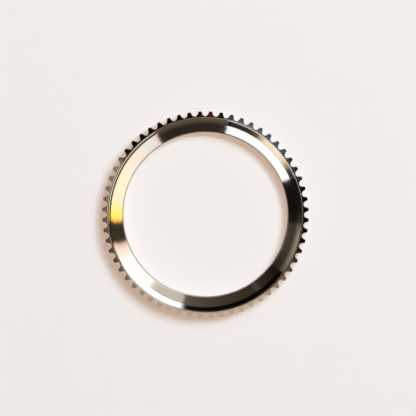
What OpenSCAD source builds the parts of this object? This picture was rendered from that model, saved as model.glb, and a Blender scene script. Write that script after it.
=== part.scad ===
// Rotating bezel of a sports watch: a steel ring with a coin edge and an empty
// dished seat for an insert, on a fixed base ring with a ball click mechanism.
// The origin is the middle of the face that rests on the watch case, +Z points
// away from the case and +Y to 12 o'clock. Lengths are in millimetres.

/* [Watch case] */
// Diameter of the case neck that the base ring is pressed on
neck_d = 32; // [28:0.1:38]
// Radial gap between the neck and the bore of the bezel ring
neck_gap = 0.08; // [0.05:0.01:0.2]

/* [Coin edge] */
// Width of the whole ring, from the neck to the tips of the teeth
ring_w = 4; // [3.6:0.05:4.6]
// Number of grooves round the edge
groove_count = 60; // [48:1:66]
// Depth of a groove
groove_depth = 0.92; // [0.7:0.02:1.1]
// Radius of the rounded bottom of a groove
groove_nose_r = 0.6; // [0.4:0.02:0.66]
// Angle between the two flanks of a groove
groove_angle = 42; // [30:1:50]
// Slope of the tops of the teeth
tooth_slope = 10.5; // [6:0.5:20]
// Chamfer round the foot of the teeth
foot_chamfer = 0.25; // [0.1:0.05:0.4]

/* [Lip and dish] */
// Width of the lip
lip_w = 0.48; // [0.4:0.01:0.6]
// Metal between the groove bottoms and the lip
lip_margin = 0.05; // [0.02:0.01:0.15]
// Radius of the round shoulder on the outside of the lip
lip_round_r = 0.3; // [0.15:0.01:0.36]
// Bevel on the inner edge of the lip and on the bore
lip_bevel = 0.05; // [0.02:0.01:0.06]
// Slope of the cone that the dish starts with at the bore
dish_angle = 22; // [16:1:28]
// Slope of the dish where it meets the lip
dish_edge_angle = 42; // [34:1:50]
// Width of the cone, seen from above
dish_cone_w = 1.45; // [1.1:0.05:1.7]
// Metal between the dish and the click ring at the bore
dish_floor_t = 0.24; // [0.2:0.02:0.5]

/* [Skirt] */
// Wall between the groove bottoms and the inside of the skirt
skirt_wall = 0.5; // [0.44:0.02:0.7]
// Gap between the foot of the skirt and the watch case
skirt_lift = 0.12; // [0.06:0.02:0.2]
// Lead-in chamfer inside the foot of the skirt
skirt_lead = 0.1; // [0.04:0.01:0.12]
// Width of the collar between the bore and the click ring
collar_w = 0.32; // [0.26:0.02:0.36]

/* [Base ring] */
// Height of the base ring
base_h = 1.3; // [1.24:0.02:1.8]
// Chamfers on the base ring's edges
base_chamfer = 0.08; // [0.04:0.01:0.12]
// Lead-in chamfer at the foot of its bore
base_lead = 0.15; // [0.08:0.01:0.2]
// Radial running gap between the base ring and the skirt
turn_gap = 0.05; // [0.02:0.01:0.08]
// Axial running gap between the base ring and the click ring
lift_gap = 0.06; // [0.03:0.01:0.1]

/* [Clicks] */
// Number of clicks in a turn
click_count = 60; // [40:4:72]
// Thickness of the click ring
click_ring_t = 0.4; // [0.34:0.02:0.6]
// Depth of a notch
click_depth = 0.2; // [0.14:0.01:0.22]
// Slope of a notch's flanks
click_flank = 30; // [28:1:40]
// Gap round the click ring in its seat
seat_gap = 0.02; // [0.01:0.01:0.04]
// Number of dowel pins that hold the click ring
pin_count = 3; // [2:1:4]
// Diameter of a dowel pin
pin_d = 0.3; // [0.24:0.02:0.34]
// Gap round a dowel pin in its hole
pin_gap = 0.01; // [0.01:0.01:0.02]
// How far a dowel pin stands in the bezel ring
pin_bite = 0.5; // [0.3:0.02:0.6]
// How far a dowel pin stops short of the click ring's face
pin_recess = 0.04; // [0.02:0.01:0.08]
// Metal on each side of the circle of dowel pins
pin_land = 0.03; // [0.02:0.01:0.05]

/* [Balls and springs] */
// Number of balls
ball_count = 4; // [2:2:4]
// Diameter of a ball
ball_d = 0.8; // [0.72:0.02:0.84]
// Gap round a ball in its pocket
ball_gap = 0.03; // [0.02:0.01:0.05]
// Gap between a ball and the flanks of its notch
rest_gap = 0.01; // [0.01:0.01:0.02]
// Metal under a pocket
pocket_floor_t = 0.22; // [0.16:0.02:0.3]
// Thickness of the spring wire
spring_wire_d = 0.09; // [0.07:0.01:0.1]
// Diameter of the spring at the middle of its wire
spring_d = 0.66; // [0.6:0.02:0.68]
// Turns of the spring
spring_turns = 3; // [2:0.5:3]

/* [Retaining wire] */
// Thickness of the wire
wire_d = 0.4; // [0.34:0.02:0.42]
// Height of the middle of the wire over the case
wire_z = 0.52; // [0.48:0.01:0.56]
// How far the wire stands in the skirt
wire_bite = 0.18; // [0.12:0.01:0.2]
// Gap round the wire in its grooves
wire_gap = 0.02; // [0.01:0.01:0.03]
// Part of a turn, in degrees, that the wire is open
wire_open = 10; // [6:1:20]

/* [Gasket] */
// Thickness of the gasket
gasket_d = 0.36; // [0.3:0.02:0.38]
// Gap round the gasket in its groove
gasket_gap = 0.01; // [0.01:0.01:0.02]
// Metal of the base ring outside the gasket
gasket_wall = 0.18; // [0.15:0.01:0.22]

/* [Hidden] */
// Directions of the first ball, the first pin, the middle of the wire's gap and
// the seam where a turned surface closes, which lies clear of grooves and notches
first_ball = 45;
first_pin = 90;
gap_at = 270;
seam_at = 2;
// Angle at which the flank of a groove leaves its nose, so that an edge shows there
nose_turn = 10;
// How far a cutter runs past the face it cuts
over = 0.1;
// Flat steps in the curves of the dish and of the lip's shoulder
dish_steps = 8;
lip_steps = 6;
// Rings in a turn of spring and sides of its wire
turn_rings = 8;
wire_sides = 6;
$fn = 96;

// Radii, from the neck outwards and from the coin edge inwards
neck_r = neck_d / 2;
bore_r = neck_r + neck_gap;
collar_r = bore_r + collar_w;
cone_r = bore_r + dish_cone_w;
bezel_r = neck_r + ring_w;
root_r = bezel_r - groove_depth;
lip_out_r = root_r - lip_margin;
dish_r = lip_out_r - lip_w;
skirt_r = root_r - skirt_wall;
wire_r = skirt_r + wire_bite - wire_d / 2;
base_r = skirt_r - turn_gap;
base_groove_r = base_r - wire_d - wire_gap;
gasket_r = base_r - gasket_wall - gasket_gap - gasket_d / 2;
seal_half_w = gasket_d / 2 + gasket_gap;
pin_r = gasket_r - seal_half_w - pin_land - pin_d / 2;
notch_end_r = pin_r - pin_d / 2 - pin_land;
pocket_r = ball_d / 2 + ball_gap;
ball_r = notch_end_r - pocket_r;

// Heights, from the case upwards
wire_half_h = wire_d / 2 + wire_gap;
click_z = base_h + lift_gap;
seat_z = click_z + click_ring_t;
seal_z = click_z - gasket_d - 2 * gasket_gap;
ball_z = click_z + click_depth - (ball_d / 2 + rest_gap) / cos(click_flank);
dish_z = seat_z + dish_floor_t;
cone_z = dish_z + dish_cone_w * tan(dish_angle);
dish_curve_r = (dish_r - cone_r) / (sin(dish_edge_angle) - sin(dish_angle));
lip_z = cone_z + dish_curve_r * (cos(dish_angle) - cos(dish_edge_angle)) + lip_bevel;
tip_z = lip_z - lip_round_r - (bezel_r - lip_out_r) * tan(tooth_slope);

// Ends of a spring's wire: on the pocket's floor and under the ball
spring_low_z = pocket_floor_t + spring_wire_d / 2 + rest_gap;
spring_touch = (ball_d + spring_wire_d) / 2 + rest_gap;
spring_high_z = ball_z - sqrt(spring_touch ^ 2 - (spring_d / 2) ^ 2);

function ball_angle(i) = first_ball + (i - 1) * 360 / ball_count;
function pin_angle(i) = first_pin + (i - 1) * 360 / pin_count;

// Points of the dish from the lip down to the end of its cone
function dish_curve() = [
    for (i = [0:dish_steps])
        let (a = dish_edge_angle + (dish_angle - dish_edge_angle) * i / dish_steps)
        [
            cone_r + dish_curve_r * (sin(a) - sin(dish_angle)),
            cone_z + dish_curve_r * (cos(dish_angle) - cos(a))
        ]
];

// Points of the lip's shoulder from the tops of the teeth up to the lip
function lip_curve() = [
    for (i = [0:lip_steps])
        let (a = 90 * i / lip_steps)
        [lip_out_r - lip_round_r * (1 - cos(a)), lip_z - lip_round_r * (1 - sin(a))]
];

// Half section of the bezel ring: collar, click ring seat, skirt, edge, lip, dish
module bezel_section() {
    polygon(concat(
        [
            [bore_r, click_z],
            [collar_r, click_z],
            [collar_r, seat_z],
            [skirt_r, seat_z],
            [skirt_r, wire_z + wire_half_h],
            [wire_r + wire_half_h, wire_z + wire_half_h],
            [wire_r + wire_half_h, wire_z - wire_half_h],
            [skirt_r, wire_z - wire_half_h],
            [skirt_r, skirt_lift + skirt_lead],
            [skirt_r + skirt_lead, skirt_lift],
            [bezel_r - foot_chamfer, skirt_lift],
            [bezel_r, skirt_lift + foot_chamfer],
            [bezel_r, tip_z]
        ],
        lip_curve(),
        [[dish_r + lip_bevel, lip_z]],
        dish_curve(),
        [
            [bore_r + lip_bevel, dish_z + lip_bevel * tan(dish_angle)],
            [bore_r, dish_z - lip_bevel]
        ]
    ));
}

// One groove of the coin edge: a round nose that opens into a V
module groove_outline() {
    half = groove_angle / 2;
    nose_r = root_r + groove_nose_r;
    flank_start = groove_nose_r * cos(nose_turn);
    flank_w = flank_start * cos(half);
    flank_r = nose_r - flank_start * sin(half);
    mouth_r = bezel_r + over;
    mouth_w = flank_w + (mouth_r - flank_r) * tan(half);
    translate([0, nose_r]) circle(groove_nose_r);
    polygon([[-flank_w, flank_r], [flank_w, flank_r], [mouth_w, mouth_r], [-mouth_w, mouth_r]]);
}

module bezel_ring() {
    color("gainsboro") difference() {
        rotate(seam_at) rotate_extrude() bezel_section();
        for (i = [0:groove_count - 1])
            rotate(i * 360 / groove_count) linear_extrude(lip_z) groove_outline();
        for (i = [1:pin_count])
            rotate(pin_angle(i)) translate([pin_r, 0, seat_z - over])
                cylinder(r = pin_d / 2 + pin_gap, h = pin_bite + pin_gap + over);
    }
}

// One notch, as a wedge that runs outwards along +X from inside the ring's bore
module notch(inner_r) {
    low_w = (click_depth + over) / tan(click_flank);
    translate([inner_r - over, 0, click_z])
        rotate([90, 0, 90]) linear_extrude(notch_end_r - inner_r + over)
            polygon([[-low_w, -over], [low_w, -over], [0, click_depth]]);
}

module click_ring() {
    inner_r = collar_r + seat_gap;
    color("lightslategray") difference() {
        translate([0, 0, click_z]) cylinder(r = skirt_r - seat_gap, h = click_ring_t);
        translate([0, 0, click_z - over]) cylinder(r = inner_r, h = click_ring_t + 2 * over);
        for (i = [0:click_count - 1])
            rotate(first_ball + i * 360 / click_count) notch(inner_r);
        for (i = [1:pin_count])
            rotate(pin_angle(i)) translate([pin_r, 0, click_z - over])
                cylinder(r = pin_d / 2 + pin_gap, h = click_ring_t + 2 * over);
    }
}

module click_pin(i) {
    low_z = click_z + pin_recess;
    color("dimgray") rotate(pin_angle(i)) translate([pin_r, 0, low_z])
        cylinder(d = pin_d, h = seat_z + pin_bite - low_z);
}

module retaining_wire() {
    color("steelblue") rotate(gap_at + wire_open / 2) rotate_extrude(angle = 360 - wire_open)
        translate([wire_r, wire_z]) circle(d = wire_d);
}

module base_ring() {
    color("darkgray") difference() {
        rotate_extrude() polygon([
            [neck_r, base_h],
            [neck_r, base_lead],
            [neck_r + base_lead, 0],
            [base_r - base_chamfer, 0],
            [base_r, base_chamfer],
            [base_r, wire_z - wire_half_h],
            [base_groove_r, wire_z - wire_half_h],
            [base_groove_r, wire_z + wire_half_h],
            [base_r, wire_z + wire_half_h],
            [base_r, base_h - base_chamfer],
            [base_r - base_chamfer, base_h],
            [gasket_r + seal_half_w, base_h],
            [gasket_r + seal_half_w, seal_z],
            [gasket_r - seal_half_w, seal_z],
            [gasket_r - seal_half_w, base_h]
        ]);
        for (i = [1:ball_count])
            rotate(ball_angle(i)) translate([ball_r, 0, pocket_floor_t])
                cylinder(r = pocket_r, h = base_h);
    }
}

module bezel_gasket() {
    color("black") rotate_extrude()
        translate([gasket_r, seal_z + gasket_gap + gasket_d / 2]) circle(d = gasket_d);
}

module detent_ball(i) {
    color("whitesmoke") rotate(ball_angle(i)) translate([ball_r, 0, ball_z])
        sphere(d = ball_d);
}

// Ring number k of the spring's wire, square to its helix
function spring_ring(k) =
    let (
        a = k * 360 / turn_rings,
        last = spring_turns * turn_rings,
        rise = (spring_high_z - spring_low_z) / (PI * spring_d * spring_turns),
        out = [cos(a), sin(a), 0],
        along = [-sin(a), cos(a), rise] / norm([1, rise]),
        up = cross(out, along),
        middle = out * spring_d / 2 + [0, 0, spring_low_z + (spring_high_z - spring_low_z) * k / last]
    )
    [
        for (s = [0:wire_sides - 1])
            middle + spring_wire_d / 2 * (out * cos(s * 360 / wire_sides) + up * sin(s * 360 / wire_sides))
    ];

module ball_spring(i) {
    last = spring_turns * turn_rings;
    points = [for (k = [0:last]) each spring_ring(k)];
    low_end = [for (s = [0:wire_sides - 1]) s];
    high_end = [for (s = [wire_sides - 1:-1:0]) last * wire_sides + s];
    sides = [
        for (k = [0:last - 1], s = [0:wire_sides - 1])
            let (here = k * wire_sides, next = (s + 1) % wire_sides)
            [here + s, here + wire_sides + s, here + wire_sides + next, here + next]
    ];
    color("slategray") rotate(ball_angle(i)) translate([ball_r, 0, 0])
        polyhedron(points, concat([low_end, high_end], sides));
}

bezel_ring();
click_ring();
retaining_wire();
base_ring();
bezel_gasket();
for (i = [1:pin_count])
    click_pin(i);
for (i = [1:ball_count]) {
    detent_ball(i);
    ball_spring(i);
}
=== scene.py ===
# %% [markdown]
# # A rotating watch bezel
#
# A bezel is the ring round the glass of a watch. This one turns: a steel ring with a coin
# edge runs on a fixed base ring, and balls on springs click into notches under it. The
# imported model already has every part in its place, and its solids could simply be
# coloured. They leave out the fine edges, though, which are what catches the light on
# polished steel. So this script models those shapes anew, gives every part its finish and
# sets up the light and the camera. The motion stays with the frame.

from math import atan2, ceil, cos, hypot, pi, radians, sin, sqrt, tan

import bmesh
import bpy
from mathutils import Matrix, Vector


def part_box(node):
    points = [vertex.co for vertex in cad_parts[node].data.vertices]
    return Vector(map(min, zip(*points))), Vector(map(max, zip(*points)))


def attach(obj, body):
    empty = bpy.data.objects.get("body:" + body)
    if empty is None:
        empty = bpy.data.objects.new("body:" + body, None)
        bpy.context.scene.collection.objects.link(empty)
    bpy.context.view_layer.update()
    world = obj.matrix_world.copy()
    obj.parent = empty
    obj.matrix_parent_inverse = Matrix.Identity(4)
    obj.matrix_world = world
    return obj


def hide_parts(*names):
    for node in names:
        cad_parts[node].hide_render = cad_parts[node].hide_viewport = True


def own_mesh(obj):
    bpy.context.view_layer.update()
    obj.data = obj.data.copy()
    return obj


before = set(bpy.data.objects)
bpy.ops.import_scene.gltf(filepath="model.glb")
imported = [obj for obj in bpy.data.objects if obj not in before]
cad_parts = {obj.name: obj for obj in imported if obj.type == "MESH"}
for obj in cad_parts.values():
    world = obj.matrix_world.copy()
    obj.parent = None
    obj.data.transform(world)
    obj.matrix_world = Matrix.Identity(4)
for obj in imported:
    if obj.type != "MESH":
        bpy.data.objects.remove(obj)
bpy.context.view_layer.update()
MM = 0.001
print("parts:", ", ".join(sorted(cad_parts)))

# %% [markdown]
# ## Heights that the frame gives
#
# The frame is in metres. The script works in millimetres, as a drawing of a watch part
# does, and turns to metres only where a point goes into a mesh. The heights could be typed
# in again, but then a change to the solids would leave the fine shapes behind. So what can
# be measured on the frame is measured there.

# %% Measured on the frame


def box_mm(node):
    """Lowest and highest corner of a part of the frame, in millimetres."""
    low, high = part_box(node)
    return low / MM, high / MM


ring_low, ring_high = box_mm("bezel_ring")
click_low, click_high = box_mm("click_ring")
wire_low, wire_high = box_mm("retaining_wire")
gasket_low, gasket_high = box_mm("bezel_gasket")

FOOT_Z, LIP_Z = ring_low.z, ring_high.z
CLICK_Z, SEAT_Z = click_low.z, click_high.z
WIRE_Z = (wire_low.z + wire_high.z) / 2
print(f"bezel ring from {FOOT_Z:.3f} to {LIP_Z:.3f} mm")
print(f"click ring from {CLICK_Z:.3f} to {SEAT_Z:.3f} mm, wire at {WIRE_Z:.3f} mm")

# %% [markdown]
# ## The sizes of the bezel ring
#
# Seen from above the ring has three zones. Outside lie 60 teeth with round grooves between
# them, then comes a narrow lip with a bevelled shoulder, and inside it the dish, which
# falls in a hollow curve and then in a straight cone to the bore. The numbers could stand
# where they are used. They stand here instead, as on a turner's drawing, with radii from
# the axis, heights over the watch case and slopes, so that all of them can be compared.

# %% Sizes of the teeth, in millimetres
TEETH = 60
TIP_R = 20.0
GROOVE_DEPTH = 0.92
ROOT_R = TIP_R - GROOVE_DEPTH
NOSE_R = 0.6
FLANK = radians(21)
TOOTH_SLOPE = radians(10.5)
TOOTH_CORNER_R = 0.14
EDGE_ROUND = 0.02
FOOT_CHAMFER = 0.25
FOOT_ROUND = 0.03
print(f"{TEETH} teeth from {ROOT_R:.2f} to {TIP_R:.2f} mm")

# %% Sizes of the lip
LEDGE = 0.05
LIP_WIDTH = 0.48
LIP_FALL = 0.3
LIP_OUT_R = ROOT_R - LEDGE
DISH_R = LIP_OUT_R - LIP_WIDTH
SHOULDER_Z = LIP_Z - LIP_FALL
BEVEL_WIDTH = 0.15
BEVEL_SLOPE = radians(42)
print(f"lip from {DISH_R:.2f} to {LIP_OUT_R:.2f} mm")

# %% Sizes of the dish
BORE_R = 16.08
CONE_R = BORE_R + 1.45
CONE_SLOPE = radians(22)
RIM_SLOPE = radians(38)
CREST_RISE = 0.1
CREST_R = CREST_RISE / (1 - cos(RIM_SLOPE))
DISH_CURVE = (DISH_R - CONE_R) / (sin(RIM_SLOPE) - sin(CONE_SLOPE))
CONE_Z = LIP_Z - CREST_RISE - DISH_CURVE * (cos(CONE_SLOPE) - cos(RIM_SLOPE))
DISH_Z = CONE_Z - (CONE_R - BORE_R) * tan(CONE_SLOPE)
print(f"dish from {DISH_Z:.3f} mm at the bore to {LIP_Z:.3f} mm at the lip")

# %% Sizes of the underside, which holds the click ring and the retaining wire
COLLAR_R = BORE_R + 0.32
SKIRT_R = ROOT_R - 0.5
WIRE_GROOVE_R = SKIRT_R + 0.2
WIRE_GROOVE_HALF = 0.22
BORE_BEVEL, COLLAR_BEVEL, SKIRT_BEVEL = 0.04, 0.02, 0.1
print(f"collar at {COLLAR_R:.2f} mm, skirt at {SKIRT_R:.2f} mm")

# %% [markdown]
# ## The outline of the coin edge
#
# A coin edge gives the fingers a grip. Seen from above, one groove is a round nose that
# opens into two straight flanks, and the corners of the teeth are a little rounded by
# polishing. A boolean could cut 60 grooves out of a plain ring, but it would leave slivers
# and no clean row of faces along their edges. So the outline is walked from the middle of
# one tooth to the middle of the next. Each spot on it keeps its place and the direction
# that points out of the metal, and an edge is rounded later by stepping inwards from it.

# %% A spot on the edge
PITCH = 2 * pi / TEETH


class Spot:
    """A point of the coin edge, with the direction that points out of the metal."""

    def __init__(self, x, y, facing):
        self.x, self.y, self.facing = x, y, facing

    def inset(self, depth):
        """The point at a depth under the surface."""
        return self.x - depth * cos(self.facing), self.y - depth * sin(self.facing)


def round_spot(x, y, radius, facing):
    """A spot on a circle about x, y. A hollow circle has a negative radius."""
    return Spot(x + radius * cos(facing), y + radius * sin(facing), facing)


first_spot = round_spot(0, 0, TIP_R, -PITCH / 2)
print(f"the outline starts at {first_spot.x:.3f}, {first_spot.y:.3f} mm")

# %% The outline from tooth to tooth, for one groove that lies on +X
CORNER_STEPS, NOSE_STEPS = 4, 7


def tooth_corner(flank_x, flank_y):
    """Centre of the rounded corner of a tooth, up the flank from the given point."""
    along = flank_x * cos(FLANK) - flank_y * sin(FLANK)
    room = (TIP_R - TOOTH_CORNER_R) ** 2 - flank_x**2 - flank_y**2
    run = -along + sqrt(along**2 + room)
    return flank_x + run * cos(FLANK), flank_y - run * sin(FLANK)


def half_outline():
    """From the middle of a tooth to the bottom of the groove."""
    nose_x = ROOT_R + NOSE_R
    flank_facing = pi / 2 - FLANK
    inward = NOSE_R + TOOTH_CORNER_R
    flank_x, flank_y = nose_x - inward * cos(flank_facing), -inward * sin(flank_facing)
    x, y = tooth_corner(flank_x, flank_y)
    tip_facing = atan2(y, x)
    spots = [first_spot]
    for i in range(CORNER_STEPS + 1):
        facing = tip_facing + (flank_facing - tip_facing) * i / CORNER_STEPS
        spots.append(round_spot(x, y, TOOTH_CORNER_R, facing))
    for i in range(NOSE_STEPS + 1):
        spots.append(round_spot(nose_x, 0, -NOSE_R, flank_facing * (1 - i / NOSE_STEPS)))
    return spots


half = half_outline()
outline = half + [Spot(s.x, -s.y, -s.facing) for s in reversed(half[:-1])]
SPOT_STEPS = len(outline) - 1
for i, spot in enumerate(outline):
    spot.turn = (i / SPOT_STEPS - 0.5) * PITCH
print(f"{SPOT_STEPS} steps from tooth to tooth, {SPOT_STEPS * TEETH} round the ring")

# %% [markdown]
# ## The section of the bezel ring
#
# The real ring is turned on a lathe, and its grooves are milled afterwards. Its mesh is a
# half section spun round the axis. A Bevel modifier could round the edges of a plain one,
# but its rows would run into each other where the grooves meet the lip. So the section
# already holds a few stations for every rounded edge. Each station knows where its point
# lies beside a given spot of the outline: most lie on a plain circle, and those of the
# coin edge follow the grooves.

# %% Stations on plain circles


def on_circle(r, z):
    """A station that doesn't feel the grooves."""
    return lambda spot: (r * cos(spot.turn), r * sin(spot.turn), z)


underside = [
    (BORE_R, CLICK_Z + BORE_BEVEL),
    (BORE_R + BORE_BEVEL, CLICK_Z),
    (COLLAR_R - COLLAR_BEVEL, CLICK_Z),
    (COLLAR_R, CLICK_Z + COLLAR_BEVEL),
    (COLLAR_R, SEAT_Z),
    (SKIRT_R, SEAT_Z),
    (SKIRT_R, WIRE_Z + WIRE_GROOVE_HALF),
    (WIRE_GROOVE_R, WIRE_Z + WIRE_GROOVE_HALF),
    (WIRE_GROOVE_R, WIRE_Z - WIRE_GROOVE_HALF),
    (SKIRT_R, WIRE_Z - WIRE_GROOVE_HALF),
    (SKIRT_R, FOOT_Z + SKIRT_BEVEL),
    (SKIRT_R + SKIRT_BEVEL, FOOT_Z),
]
shoulder = [
    (LIP_OUT_R, SHOULDER_Z),
    (LIP_OUT_R, LIP_Z - BEVEL_WIDTH * tan(BEVEL_SLOPE)),
    (LIP_OUT_R - BEVEL_WIDTH, LIP_Z),
]
print(f"{len(underside)} stations on the underside, {len(shoulder)} on the shoulder")

# %% Stations of the crest of the lip and of the dish
CREST_STEPS, DISH_STEPS = 8, 12


def crest_point(slope):
    """A point on the rounding between the top of the lip and the dish."""
    drop = CREST_R * (1 - cos(slope))
    return DISH_R + CREST_R * (sin(RIM_SLOPE) - sin(slope)), LIP_Z - drop


def dish_point(slope):
    """A point of the hollow curve, where it has the given slope."""
    return (
        CONE_R + DISH_CURVE * (sin(slope) - sin(CONE_SLOPE)),
        CONE_Z + DISH_CURVE * (cos(CONE_SLOPE) - cos(slope)),
    )


def cone_point(width):
    """A point of the straight cone, at a distance from the bore."""
    return BORE_R + width, DISH_Z + width * tan(CONE_SLOPE)


slopes = [RIM_SLOPE + (CONE_SLOPE - RIM_SLOPE) * i / DISH_STEPS for i in range(1, DISH_STEPS + 1)]
dish = [crest_point(RIM_SLOPE * i / CREST_STEPS) for i in range(CREST_STEPS + 1)]
dish += [dish_point(slope) for slope in slopes]
dish += [cone_point(width) for width in (1.0, 0.5, 0.04)]
bore_rounding = ((0.018, 0.005), (0.005, -0.008), (0, -0.025))
dish += [(BORE_R + width, DISH_Z + rise) for width, rise in bore_rounding]
print(f"{len(dish)} stations from the lip to the bore")

# %% Stations at the tops of the teeth
EDGE_STEPS = 6
EDGE_ROOM = 0.4


def tooth_top(r):
    """Height of the sloping tops of the teeth."""
    return SHOULDER_Z - (r - LIP_OUT_R) * tan(TOOTH_SLOPE)


def on_top_edge(bend, past=0.0):
    """A station on the rounding between the wall of a groove and the top of the teeth.

    At the bottom of a groove the ledge is narrow, so the rounding takes only part of it.
    A station past the rounding lies further in, by the given share of its radius.
    """

    def place(spot):
        rounding = min(EDGE_ROUND, EDGE_ROOM * (hypot(spot.x, spot.y) - LIP_OUT_R))
        x, y = spot.inset(rounding * (1 - cos(bend) + past))
        return x, y, tooth_top(hypot(x, y)) - rounding * (1 - sin(bend))

    return place


top_edge = [on_top_edge(pi / 2 * i / EDGE_STEPS) for i in range(EDGE_STEPS + 1)]
top_edge += [on_top_edge(pi / 2, past=0.8)]
print(f"tops of the teeth from {tooth_top(LIP_OUT_R):.3f} down to {tooth_top(TIP_R):.3f} mm")

# %% Stations at the foot of the teeth, and the whole section


def tooth_foot(r):
    """Height of the underside of the teeth, with its chamfer."""
    return FOOT_Z + max(0, r - (TIP_R - FOOT_CHAMFER))


def on_foot_edge(inset, lift):
    """A station on the small rounding under the teeth."""

    def place(spot):
        x, y = spot.inset(inset)
        return x, y, tooth_foot(hypot(x, y)) + lift

    return place


def under_tooth(spot):
    """The line where the underside turns up into the chamfer at the foot of the teeth."""
    x, y = spot.inset(2 * FOOT_ROUND)
    shrink = min(1, (TIP_R - FOOT_CHAMFER) / hypot(x, y))
    return x * shrink, y * shrink, FOOT_Z


section = [on_circle(r, z) for r, z in underside]
section += [under_tooth, on_foot_edge(FOOT_ROUND, 0), on_foot_edge(0, FOOT_ROUND)]
section += top_edge
section += [on_circle(r, z) for r, z in shoulder + dish]
print(f"{len(section)} stations, {len(section) * SPOT_STEPS * TEETH * 2} triangles")

# %% [markdown]
# ## Spinning and carving the ring
#
# `bmesh.ops.spin` turns the section from the middle of one tooth to the middle of the
# next. Each point remembers its station, and its angle says beside which spot of the
# outline it lies. The groove is then carved by moving the points of the edge stations onto
# the outline, which keeps one clean row of faces from the wall over the rounded edge to
# the top. All 60 grooves could be carved so, one by one. The same operator, told to
# duplicate, sets the other 59 copies round the ring in one step.

# %% Tools to spin a mesh and to finish it
MERGE = 2e-7


def spin(bm, geometry, steps, angle, climb=0.0, **options):
    """Spins geometry about the axis of the ring, with a rise at each step for a coil."""
    middle, up = (0, 0, 0), (0, 0, 1)
    rise = (0, 0, climb / steps * MM)
    bmesh.ops.spin(
        bm, geom=geometry, cent=middle, axis=up, dvec=rise, angle=angle, steps=steps, **options
    )


def to_object(name, bm, sharp=30):
    """Merges, turns the faces outwards, marks sharp edges and links the mesh as an object."""
    bmesh.ops.remove_doubles(bm, verts=bm.verts, dist=MERGE)
    bmesh.ops.recalc_face_normals(bm, faces=bm.faces)
    for face in bm.faces:
        face.smooth = True
    for edge in bm.edges:
        edge.smooth = edge.calc_face_angle(0) < radians(sharp)
    mesh = bpy.data.meshes.new(name)
    bm.to_mesh(mesh)
    bm.free()
    piece = bpy.data.objects.new(name, mesh)
    bpy.context.scene.collection.objects.link(piece)
    print(f"{name}: {len(mesh.polygons)} faces")
    return piece


print(f"points closer than {MERGE / MM:.4f} mm are merged")

# %% One groove, spun and carved
GROOVE_MIDDLE = pi / 2


def on_ring(x, y, z):
    """A point given beside +X, turned to the groove's own place, in metres."""
    c, s = cos(GROOVE_MIDDLE), sin(GROOVE_MIDDLE)
    return Vector((x * c - y * s, x * s + y * c, z)) * MM


bm = bmesh.new()
station = bm.verts.layers.int.new("station")
loop = []
for number, place in enumerate(section):
    loop.append(bm.verts.new(on_ring(*place(outline[0]))))
    loop[-1][station] = number
edges = [bm.edges.new((loop[i - 1], loop[i])) for i in range(len(loop))]
spin(bm, loop + edges, SPOT_STEPS, PITCH)

for v in bm.verts:
    along = (atan2(v.co.y, v.co.x) - GROOVE_MIDDLE) / PITCH + 0.5
    v.co = on_ring(*section[v[station]](outline[round(along * SPOT_STEPS)]))
print(f"one groove: {len(bm.faces)} faces")

# %% The whole bezel ring
groove = bm.verts[:] + bm.edges[:] + bm.faces[:]
spin(bm, groove, TEETH - 1, 2 * pi - PITCH, use_duplicate=True)
bezel_body = to_object("bezel_body", bm)

# %% [markdown]
# ## Nodes written as formulas
#
# A material is a net of nodes. It could be set up node by node, with a line for every
# link, but then its maths is hard to read. So a small class wraps a socket: adding or
# multiplying two wrapped sockets adds the Math node that does it. Any other node comes
# from one method, which sets the node's settings first and then its sockets.

# %% A socket with arithmetic


class Signal:
    """A node's output that can be added, multiplied and so on."""

    def __init__(self, finish, socket):
        self.finish, self.socket = finish, socket

    def __add__(self, other):
        return self.finish.math("ADD", self, other)

    def __sub__(self, other):
        return self.finish.math("SUBTRACT", self, other)

    def __rsub__(self, other):
        return self.finish.math("SUBTRACT", other, self)

    def __mul__(self, other):
        return self.finish.math("MULTIPLY", self, other)

    def __truediv__(self, other):
        return self.finish.math("DIVIDE", self, other)

    def __rtruediv__(self, other):
        return self.finish.math("DIVIDE", other, self)

    def __gt__(self, other):
        return self.finish.math("GREATER_THAN", self, other)

    def __lt__(self, other):
        return self.finish.math("LESS_THAN", self, other)

    __radd__ = __add__
    __rmul__ = __mul__


print("sockets can be added, subtracted, multiplied, divided and compared")

# %% A finish, which holds a material and its nodes


class Finish:
    """A material and the nodes that make it up."""

    def __init__(self, name):
        self.material = bpy.data.materials.new(name)
        self.material.use_nodes = True
        self.tree = self.material.node_tree
        self.tree.nodes.clear()

    def node(self, kind, settings=None, inputs=None):
        """Adds a node, sets it up, fills or links its inputs, and returns its outputs."""
        made = self.tree.nodes.new(kind)
        for key, value in (settings or {}).items():
            setattr(made, key, value)
        for key, value in (inputs or {}).items():
            if isinstance(value, Signal):
                self.tree.links.new(value.socket, made.inputs[key])
            else:
                made.inputs[key].default_value = value
        return [Signal(self, out) for out in made.outputs]

    def math(self, operation, *inputs):
        """The output of a Math node."""
        return self.node("ShaderNodeMath", {"operation": operation}, dict(enumerate(inputs)))[0]

    def vector(self, operation, *inputs):
        """The first output of a Vector Math node."""
        settings = {"operation": operation}
        return self.node("ShaderNodeVectorMath", settings, dict(enumerate(inputs)))[0]

    def place(self):
        """Where a point lies on its piece, in millimetres."""
        spot = self.node("ShaderNodeTexCoord")[3]
        return self.vector("MULTIPLY", spot, (1 / MM, 1 / MM, 1 / MM))

    def output(self, shader):
        self.node("ShaderNodeOutputMaterial", None, {"Surface": shader})
        print("finish:", self.material.name)
        return self.material


print("parts without a finish so far:", len(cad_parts))

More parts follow.
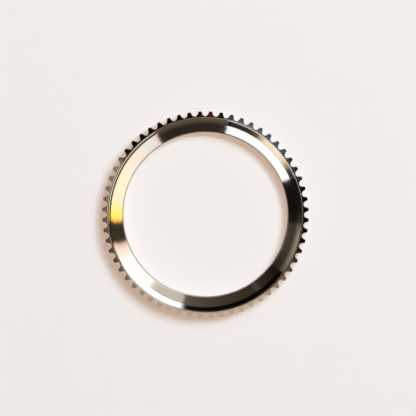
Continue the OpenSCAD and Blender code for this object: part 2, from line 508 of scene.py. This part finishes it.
# %% [markdown]
# ## Turned and polished steel
#
# A lathe leaves rings of fine marks. On the dish they are too fine to see one by one, but
# they spread a reflection inwards and outwards and leave it sharp round the ring. The
# Anisotropic setting could spread it too, only evenly and without any grain. So the finish
# tilts the surface towards or away from the axis by a noise that depends only on the
# distance from the axis and the height. A second, weaker noise tilts it sideways, as the
# tool wanders a little along its path, and leaves the ends of a reflection streaky.

# %% Marks of the lathe


def ring_noise(finish, r, z, scale, shift):
    """A noise that is the same all round the axis, from -0.5 to 0.5."""
    spot = finish.node("ShaderNodeCombineXYZ", None, {0: r * scale + shift, 1: z * scale})[0]
    inputs = {"Vector": spot, "Scale": 1.0, "Detail": 3.0, "Roughness": 0.6}
    return finish.node("ShaderNodeTexNoise", {"noise_dimensions": "2D"}, inputs)[0] - 0.5


WANDER_SHIFT = 50.0


def tilted(finish, x, y, z, r, marks, scale, wander):
    """The surface's direction, tilted by the marks and by the wander of the tool."""
    out = ring_noise(finish, r, z, scale, 0.0) * marks
    along = ring_noise(finish, r, z, scale, WANDER_SHIFT) * wander
    lean = {0: (x * out - y * along) / r, 1: (y * out + x * along) / r, 2: 0.0}
    lean = finish.node(
        "ShaderNodeVectorTransform",
        {"vector_type": "VECTOR", "convert_from": "OBJECT", "convert_to": "WORLD"},
        {0: finish.node("ShaderNodeCombineXYZ", None, lean)[0]},
    )[0]
    normal = finish.node("ShaderNodeNewGeometry")[1]
    return finish.vector("NORMALIZE", finish.vector("ADD", normal, lean))


print(f"noise for the wander starts {WANDER_SHIFT:.0f} units further on")

# %% [markdown]
# ## Milled walls of the grooves, with painted shade
#
# The milling cutter leaves the walls of the grooves duller than the polished faces, and
# their colour is made darker as well, which is painted shade in the grooves. They could be
# a piece of their own, but a real ring is one piece of metal. So one finish covers the
# whole ring, and a mask picks the walls: everything that lies deeper than the rounded edge
# under the tops of the teeth.

# %% Steel with its mask for the milled walls and their painted shade
# The darker colour of the groove walls is painted shade; the higher roughness is the milling.
GROOVE_SHADE_COLOUR, MILLED_ROUGHNESS = (0.28, 0.27, 0.26), 0.5
WALL_MARGIN = 0.01


def milled_and_shaded_walls(r, z):
    """1 on the walls of the grooves, which are rougher and darkened with painted shade, and 0
    elsewhere.
    """
    depth = (SHOULDER_Z - EDGE_ROUND) - (r - LIP_OUT_R) * tan(TOOTH_SLOPE) - z
    return (depth > 0.0) * (r > LIP_OUT_R - WALL_MARGIN)


def turned_steel(name, colour, roughness, marks, scale, milled_and_shaded=None, wander=0.0):
    """Steel with circular tool marks of a given steepness, `scale` to the millimetre."""
    finish = Finish(name)
    x, y, z = finish.node("ShaderNodeSeparateXYZ", None, {0: finish.place()})
    r = finish.math("SQRT", x * x + y * y)
    normal = tilted(finish, x, y, z, r, marks, scale, wander)
    base = (*colour, 1)
    # The masked walls get more roughness, and a darker colour that is painted shade.
    if milled_and_shaded:
        groove_shade = milled_and_shaded(r, z)
        roughness = roughness + groove_shade * (MILLED_ROUGHNESS - roughness)
        blend = {0: groove_shade, 6: base, 7: (*GROOVE_SHADE_COLOUR, 1)}
        base = finish.node("ShaderNodeMix", {"data_type": "RGBA"}, blend)[2]
    inputs = {"Base Color": base, "Metallic": 1.0, "Roughness": roughness, "Normal": normal}
    return finish.output(finish.node("ShaderNodeBsdfPrincipled", None, inputs)[0])


bezel_steel = turned_steel("bezel_steel", (0.66, 0.64, 0.61), 0.065, 0.03, 5.0, milled_and_shaded_walls, 0.015)

# %% The bezel ring takes the place of the frame's solid


def coat(piece, material):
    """Gives a piece one finish all over."""
    piece.data.materials.clear()
    piece.data.materials.append(material)


coat(bezel_body, bezel_steel)
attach(bezel_body, "bezel")
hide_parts("bezel_ring")
print("bezel_ring is replaced")

# %% [markdown]
# ## Parts that keep their solids
#
# The click ring is ground satin, the base ring finely turned, the wire drawn, the pins are
# ground and the balls lapped. All of them could be modelled anew too, but their solids
# already have the right shapes, and the bezel ring hides nearly all of them. So they only
# get finishes: the same steel with another roughness and other marks.

# %% Finishes of the frame's own parts
click_steel = turned_steel("click_steel", (0.5, 0.51, 0.53), 0.34, 0.05, 8.0)
base_steel = turned_steel("base_steel", (0.42, 0.42, 0.42), 0.15, 0.05, 5.0)
wire_steel = turned_steel("wire_steel", (0.45, 0.46, 0.5), 0.25, 0.0, 5.0)
pin_steel = turned_steel("pin_steel", (0.5, 0.5, 0.5), 0.3, 0.0, 5.0)
ball_steel = turned_steel("ball_steel", (0.75, 0.75, 0.76), 0.06, 0.0, 5.0)

own_finishes = {
    "click_ring": click_steel,
    "base_ring": base_steel,
    "retaining_wire": wire_steel,
    "click_pin": pin_steel,
    "detent_ball": ball_steel,
}
for name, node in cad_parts.items():
    for start, steel in own_finishes.items():
        if name.startswith(start):
            coat(node, steel)
            print(f"{name}: {steel.name}")

# %% [markdown]
# ## The gasket
#
# The gasket is a plain ring of round rubber cord, which seals the gap and damps the clicks.
# A torus from the Add menu would do. A circle spun round the axis gives the same ring, and
# the helper that sets up the circle is used for the coils of the springs as well.

# %% A section of round cord or wire


def round_section(radius, sides, centre_r, centre_z):
    """A new bmesh with a circle that stands upright on the +X side of the axis."""
    bm = bmesh.new()
    made = bmesh.ops.create_circle(bm, cap_ends=False, radius=radius * MM, segments=sides)
    for v in made["verts"]:
        v.co = Vector((centre_r * MM + v.co.x, 0, centre_z * MM + v.co.y))
    return bm


CORD_SIDES, CORD_STEPS = 20, 180
CORD_R = (gasket_high.z - gasket_low.z) / 2
bm = round_section(CORD_R, CORD_SIDES, gasket_high.x - CORD_R, gasket_low.z + CORD_R)
spin(bm, bm.verts[:] + bm.edges[:], CORD_STEPS, 2 * pi, use_merge=True)
gasket_cord = to_object("gasket_cord", bm)

# %% Black rubber with a fine grain
GRAIN_DEPTH = 0.01


def rubber(name, colour):
    """A dull surface with a shallow grain."""
    finish = Finish(name)
    grain = {"Vector": finish.place(), "Scale": 9.0, "Detail": 2.0}
    noise = finish.node("ShaderNodeTexNoise", None, grain)[0]
    relief = {"Strength": 0.3, "Distance": GRAIN_DEPTH * MM, "Height": noise}
    bump = finish.node("ShaderNodeBump", None, relief)[0]
    inputs = {"Base Color": (*colour, 1), "Roughness": noise * 0.2 + 0.5, "Normal": bump}
    return finish.output(finish.node("ShaderNodeBsdfPrincipled", None, inputs)[0])


coat(gasket_cord, rubber("gasket_rubber", (0.03, 0.03, 0.03)))
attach(gasket_cord, "base")
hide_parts("bezel_gasket")

# %% [markdown]
# ## The springs under the balls
#
# A coil spring is wire that climbs as it turns. A curve with a round bevel could draw it,
# or the Screw modifier. A spin with a small rise at each step makes just that shape too,
# and leaves a plain mesh whose open ends only need filling.

# %% Coil springs
SPRING_TURNS = 3
COIL_R = 0.33
COIL_WIRE_R = 0.045
COIL_SIDES, COIL_STEPS = 10, 28
END_GAP = 0.005


def coil(name, node):
    """A coil spring in the place of the frame's own."""
    low, high = box_mm(node)
    foot = low.z + COIL_WIRE_R + END_GAP
    climb = high.z - low.z - 2 * (COIL_WIRE_R + END_GAP)
    bm = round_section(COIL_WIRE_R, COIL_SIDES, COIL_R, foot)
    spin(bm, bm.verts[:] + bm.edges[:], SPRING_TURNS * COIL_STEPS, 2 * pi * SPRING_TURNS, climb)
    bmesh.ops.holes_fill(bm, edges=[e for e in bm.edges if e.is_boundary], sides=0)
    middle = Vector(((low.x + high.x) / 2, (low.y + high.y) / 2, 0)) * MM
    bmesh.ops.translate(bm, verts=bm.verts, vec=middle)
    return to_object(name, bm, sharp=50)


for number in range(1, 5):
    node = f"ball_spring_{number}"
    spring = coil(f"coil_spring_{number}", node)
    coat(spring, wire_steel)
    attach(spring, "base")
    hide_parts(node)
    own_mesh(spring)

# %% [markdown]
# ## The floor
#
# The ring lies on a pale, matt board. A plane would do, but its corners could show in the
# steel, so the board is a disc, and wide enough for its edge to stay out of sight.

# %% Floor, in metres
FLOOR_R = 4.0
FLOOR_SIDES = 64


def matt(name, colour):
    """A board without any shine."""
    finish = Finish(name)
    inputs = {"Base Color": (*colour, 1), "Roughness": 0.9, "Specular IOR Level": 0.1}
    return finish.output(finish.node("ShaderNodeBsdfPrincipled", None, inputs)[0])


bm = bmesh.new()
bmesh.ops.create_circle(bm, cap_ends=True, radius=FLOOR_R, segments=FLOOR_SIDES)
floor = to_object("floor", bm)
coat(floor, matt("floor_board", (0.885, 0.88, 0.86)))

# %% [markdown]
# ## Light cards
#
# Polished steel has hardly a colour of its own: it shows what stands round it. Area lamps
# could light it, but each gives one even patch with hard corners. So the light comes from
# cards, which are bands cut out of a sphere 2 m round the ring. A card is laid out as a
# flat grid, then bent onto the sphere, and its corners store a colour, so that one card
# can change its colour and strength along its length.
#
# What lights the floor would also show in the steel, and the other way round. To set them
# apart, each card does one of the two: it lights the floor and casts the shadows, or it
# shows in the steel and leaves the floor alone.

# %% Directions, and a surface that shines
CARD_DISTANCE = 2.0


def direction(azimuth, zenith):
    """Unit vector; azimuth runs clockwise from 12 o'clock, zenith down from overhead."""
    a, z = radians(azimuth), radians(zenith)
    return Vector((sin(z) * sin(a), sin(z) * cos(a), cos(z)))


def glow(name, strength):
    """A surface that shines with the colour stored at its corners."""
    finish = Finish(name)
    colour = finish.node("ShaderNodeAttribute", {"attribute_name": "glow"})[0]
    inputs = {"Color": colour, "Strength": strength}
    return finish.output(finish.node("ShaderNodeEmission", None, inputs)[0])


print("3 o'clock, at the horizon, is", tuple(round(c, 2) for c in direction(90, 90)))

# %% A card, from stops along its length
CARD_STEP = 12


def card_part(bm, layer, first, last, zeniths):
    """Adds the part of a card between two stops, with its colours.

    A stop has an azimuth, a colour, and the brightness at the upper and at the lower edge.
    """
    steps = ceil((last[0] - first[0]) / CARD_STEP)
    made = bmesh.ops.create_grid(bm, x_segments=steps, y_segments=1, size=0.5)
    for v in made["verts"]:
        share, edge = v.co.x + 0.5, int(v.co.y > 0)
        azimuth = first[0] + (last[0] - first[0]) * share
        shine = Vector(first[1]) * first[2 + edge] * (1 - share)
        shine += Vector(last[1]) * last[2 + edge] * share
        v.co = direction(azimuth, zeniths[edge]) * CARD_DISTANCE
        for corner in v.link_loops:
            corner[layer] = (*shine, 1)


def card(name, zeniths, stops, strength=1.0, on_floor=False):
    """A card that fills a band of directions over the ring, between two zeniths."""
    bm = bmesh.new()
    layer = bm.loops.layers.float_color.new("glow")
    for first, last in zip(stops, stops[1:]):
        card_part(bm, layer, first, last, zeniths)
    piece = to_object(name, bm)
    coat(piece, glow(name + "_glow", strength))
    piece.visible_diffuse, piece.visible_glossy = on_floor, not on_floor
    piece.visible_shadow = on_floor


def even(*stops):
    """Stops that are as bright at the upper edge as at the lower one."""
    return [(azimuth, colour, level, level) for azimuth, colour, level in stops]


print(f"a card has a face for every {CARD_STEP} degrees or less")

# %% [markdown]
# ## The window
#
# A tall window at the upper right is the main light. One card would do if the ring were
# flat. But the cone of the dish, its hollow curve, the lip and the teeth lean differently,
# and each shows another height of the window, from the bright sky at its top to the
# frame's warm edge at the side. So the window is put together from cards of its own for
# each of these heights. Three further cards send its light to the floor.

# %% The window's light on the floor
DAYLIGHT, WINDOW = (0.66, 0.85, 1.0), 14.6
card("window_light", (31, 50), even((38, DAYLIGHT, 1), (68, DAYLIGHT, 1)), WINDOW, True)
card("window_light_top", (26, 35), even((14, DAYLIGHT, 1), (38, DAYLIGHT, 1)), WINDOW, True)
card("window_light_foot", (46, 52), even((14, DAYLIGHT, 1), (38, DAYLIGHT, 1)), WINDOW, True)

# %% The window as it shows in the steel
WHITE = (1.0, 0.985, 0.965)
COLD = (0.8, 0.9, 1.0)
CREAM = (1.0, 0.9, 0.77)
card("window", (36, 50), even((40, WHITE, 1), (63, WHITE, 1)), 1.6)
card("window_top", (29, 36), even((14, COLD, 1), (63, COLD, 1)), 4.0)
side = [(12.5, CREAM, 0.1), (15.5, CREAM, 0.8), (34, CREAM, 0.86), (38, CREAM, 1.1)]
side += [(40, WHITE, 1.5)]
card("window_side", (36, 47), even(*side))
foot = [(12.5, CREAM, 0.1), (15.5, WHITE, 1.3), (18, COLD, 4), (40, COLD, 4)]
card("window_foot", (47, 52), even(*foot))
low = [(12.5, CREAM, 0.1), (15.5, WHITE, 1.5), (18, COLD, 4), (60, COLD, 4), (63, WHITE, 1.5)]
card("window_low", (52, 84), even(*low))

# %% The window's warm end
BLUSH = (1.0, 0.86, 0.74)
ROSE = (1.0, 0.66, 0.5)
end = [(63, WHITE, 1.6), (66, BLUSH, 1.6), (70, (1.0, 0.82, 0.7), 1.5)]
end += [(73.5, ROSE, 1.3), (75, ROSE, 0.7), (76, ROSE, 0.1)]
card("window_end", (30, 76), even(*end))

# %% [markdown]
# ## The strip and the coloured band
#
# A white strip stands at the lower left, with a peach glow above it in the hollow curve.
# From the right comes a band that turns from gold over yellow and cream to mint and pink,
# and the dish shows it at the left. A picture stretched round the ring could hold all of
# this, but a few stops along a card are easier to read and to change.

# %% The white strip
COOL = (0.98, 1.0, 1.03)
strip = [(193.4, CREAM, 0.6), (194.2, COOL, 1.57), (243.3, COOL, 1.57), (244.2, CREAM, 0.6)]
card("strip", (33, 48.5), even(*strip))

# %% The peach glow above the strip
PEACH = (1.0, 0.82, 0.62)
AMBER = (1.0, 0.68, 0.42)
peach = [(196, AMBER, 0.05), (207, AMBER, 0.07), (212, AMBER, 0.2), (214, AMBER, 0.75)]
peach += [(218, PEACH, 1.4), (228, PEACH, 1.5), (232, PEACH, 1.35), (236, AMBER, 0.75)]
peach += [(239.5, AMBER, 0.12), (250, AMBER, 0.03)]
card("peach", (50, 80), even(*peach))

# %% The coloured band
GOLD, YELLOW, LEMON = (1.0, 0.55, 0.1), (1.0, 0.81, 0.16), (1.0, 0.88, 0.3)
IVORY, MINT, PINK = (1.0, 0.89, 0.66), (0.9, 0.94, 0.88), (1.0, 0.86, 0.84)
band = [(88.3, GOLD, 0.3), (89.5, GOLD, 1.4), (92, YELLOW, 1.7), (98, LEMON, 1.65)]
band += [(104, IVORY, 1.6), (118, IVORY, 1.6), (128, BLUSH, 1.55), (137, BLUSH, 1.5)]
band += [(142, MINT, 1.35), (144.5, MINT, 1.35), (148, PINK, 1.35), (150.5, PINK, 1.2)]
band += [(151.7, PINK, 0.2)]
card("band", (34, 63), even(*band))

# %% [markdown]
# ## What the tops of the teeth show
#
# The tops of the teeth slope gently outwards, so each one shows the air over its own side
# of the ring. The teeth could be given a darker or a lighter steel, side by side, but then
# they would keep it when the ring turns. So cards high over the ring do it: beige over the
# lower half, cold over the upper right, and a touch of red at 12 o'clock.

# %% Over the teeth
BEIGE = (1.0, 0.76, 0.58)
tops = [(112, BEIGE, 0), (121, BEIGE, 0.05), (130, BEIGE, 0.16), (140, BEIGE, 0.42)]
tops += [(150, BEIGE, 0.72), (202, BEIGE, 0.72), (215, BEIGE, 0.5), (228, BEIGE, 0.23)]
tops += [(240, BEIGE, 0.09), (255, BEIGE, 0.17), (268, BEIGE, 0.24), (285, BEIGE, 0.36)]
tops += [(294, BEIGE, 0.46), (299, BEIGE, 0)]
card("tops", (20, 29), even(*tops))

# %% Over the teeth from 12 to 3 o'clock
SKY, RED = (0.66, 0.82, 1.0), (1.0, 0.2, 0.12)
cold = [(8, SKY, 0), (14, SKY, 0.08), (22, SKY, 0.16), (30, SKY, 0.26), (40, SKY, 0.17)]
cold += [(53, SKY, 0.16), (62, SKY, 0.05), (74, SKY, 0.07), (80, SKY, 0)]
card("tops_cold", (19, 27), even(*cold))
card("tops_red", (19, 27), even((353, RED, 0), (356, RED, 0.07), (364, RED, 0.07), (367, RED, 0)))

# %% [markdown]
# ## What the lip shows
#
# The lip is a fine line, and it is what makes the ring look crisp. Its rounded crest
# mirrors the air almost straight above, and the bevel outside it mirrors the horizon. One
# even ring of light would draw the line in one tone all round. So the cards for it run
# right round and change with the direction, as the room does.

# %% High over the lip's crest
TAN = (1.0, 0.75, 0.54)
above = [(10, WHITE, 0.6), (16, WHITE, 1.3), (40, WHITE, 1.7), (58, WHITE, 1.6)]
above += [(68, BEIGE, 0.3), (76, BEIGE, 0.01), (140, BEIGE, 0.01), (152, TAN, 0.13)]
above += [(170, TAN, 0.24), (185, TAN, 0.6), (196, COLD, 1.3), (215, COLD, 1.8)]
above += [(238, COLD, 1.2), (248, TAN, 0.2), (270, TAN, 0.35), (288, TAN, 0.7)]
above += [(300, TAN, 0.3), (306, TAN, 0.01), (355, TAN, 0.02), (370, WHITE, 0.6)]
card("overhead", (6, 17), even(*above))

# %% Straight above the flat top of the lip
zenith = [(0, BEIGE, 0.05), (105, BEIGE, 0.08), (125, BEIGE, 0.07), (138, BEIGE, 0.03)]
zenith += [(150, BEIGE, 0.05), (163, BEIGE, 0.15), (180, BEIGE, 0.25), (225, BEIGE, 0.35)]
zenith += [(235, BEIGE, 0.55), (250, BEIGE, 0.6), (262, BEIGE, 0.15), (280, BEIGE, 0.03)]
zenith += [(360, BEIGE, 0.05)]
card("straight_up", (0.5, 6), even(*zenith))

# %% [markdown]
# ## Dim glows
#
# Where nothing bright stands, the dish still isn't black: it shows a dim brown room. The
# world's own colour could stand in for that room, but it is the same in every direction.
# So a few weak cards fill the gaps between the bright ones, and one low card gives the
# lip's bevel its horizon.

# %% Glows at the left and at the top
LIGHT_TAN = (1.0, 0.84, 0.64)


def tinted(colour, *levels):
    """Stops of one colour, each with its brightness at the upper and at the lower edge."""
    return [(azimuth, colour, upper, lower) for azimuth, upper, lower in levels]


left = [(245, 0.01, 0.01), (264, 0.005, 0.02), (271, 0.01, 0.06), (277, 0.01, 0.45)]
left += [(281, 0.01, 0.6), (290, 0.01, 0.56), (303, 0.01, 0.3), (304.5, 0.01, 0.02)]
card("glow_left", (36, 80), tinted(LIGHT_TAN, *left))
top = [(304.5, 0.02, 0.01), (312, 0.04, 0.02), (319.5, 0.06, 0.04), (322, 0.14, 0.11)]
top += [(324.5, 0.06, 0.04), (338, 0.075, 0.05), (350, 0.09, 0.065), (360, 0.12, 0.09)]
top += [(370, 0.16, 0.12), (374, 0.2, 0.15)]
card("glow_top", (34, 50), tinted(TAN, *top))

# %% Glows at the bottom and at the right
card("glow_bottom", (36, 82), tinted(TAN, (151.7, 0, 0.2), (194, 0, 0.22)))
card("gap", (34, 78), tinted(TAN, (76, 0.06, 0.06), (88.3, 0.05, 0.05)))
card("gap_top", (63, 80), tinted(TAN, (88.3, 0.12, 0.16), (151.7, 0.12, 0.16)))

# %% The horizon, for the bevel of the lip
horizon = [(138, TAN, 0), (148, TAN, 0.5), (172, TAN, 0.6), (195, TAN, 0.75)]
horizon += [(203, WHITE, 1.3), (228, WHITE, 1.2), (236, TAN, 0.5), (245, TAN, 0.3)]
horizon += [(262, TAN, 0.4), (270, LIGHT_TAN, 0.7), (296, LIGHT_TAN, 0.8)]
horizon += [(302, LIGHT_TAN, 0.1), (306, LIGHT_TAN, 0)]
card("low", (84, 89.9), even(*horizon))

# %% [markdown]
# ## The lamp and the world
#
# The shadow of the window would be far too dark by itself. The world could fill it, but
# the steel would show that as a grey veil. So a warm lamp overhead fills it, which the
# steel doesn't show, and the world stays almost black.

# %% A warm lamp overhead, and a dark world
lamp = bpy.data.lights.new("warm_lamp", "SUN")
lamp.energy = 1.83
lamp.color = (1.0, 0.72, 0.56)
lamp.angle = radians(5)
warm_lamp = bpy.data.objects.new("warm_lamp", lamp)
warm_lamp.visible_glossy = False
bpy.context.scene.collection.objects.link(warm_lamp)

world = bpy.data.worlds.new("room")
bpy.context.scene.world = world
world.use_nodes = True
background = world.node_tree.nodes["Background"]
background.inputs["Color"].default_value = (0.004, 0.0035, 0.003, 1)
background.inputs["Strength"].default_value = 1.0
print(f"{len(bpy.data.lights)} lamp of {lamp.energy:.2f} W/m2")

# %% [markdown]
# ## Camera
#
# The ring is seen from almost straight above. A wide lens close by would show the inner
# walls of the bore all round, so a long lens is used from further away. The camera stands
# a little towards 12 o'clock and looks at a point beside the middle of the ring. Its three
# axes are worked out from the line of sight, which gives its rotation without a target
# object or a constraint.

# %% Camera
TILT, TOWARDS = 2.4, 14
DISTANCE = 0.35
AIM = Vector((0.51, 1.32, 2.8)) * MM

camera_data = bpy.data.cameras.new("camera")
camera_data.lens = 156.65
camera_data.clip_start = 0.01
camera = bpy.data.objects.new("camera", camera_data)
bpy.context.scene.collection.objects.link(camera)
eye = direction(TOWARDS, TILT)
camera.location = AIM + eye * DISTANCE
right = Vector((0, 1, 0)).cross(eye).normalized()
camera.rotation_euler = Matrix((right, eye.cross(right), eye)).transposed().to_euler()
bpy.context.scene.camera = camera
bpy.context.scene.view_settings.view_transform = "Standard"
print("camera at", tuple(round(c, 3) for c in camera.location))
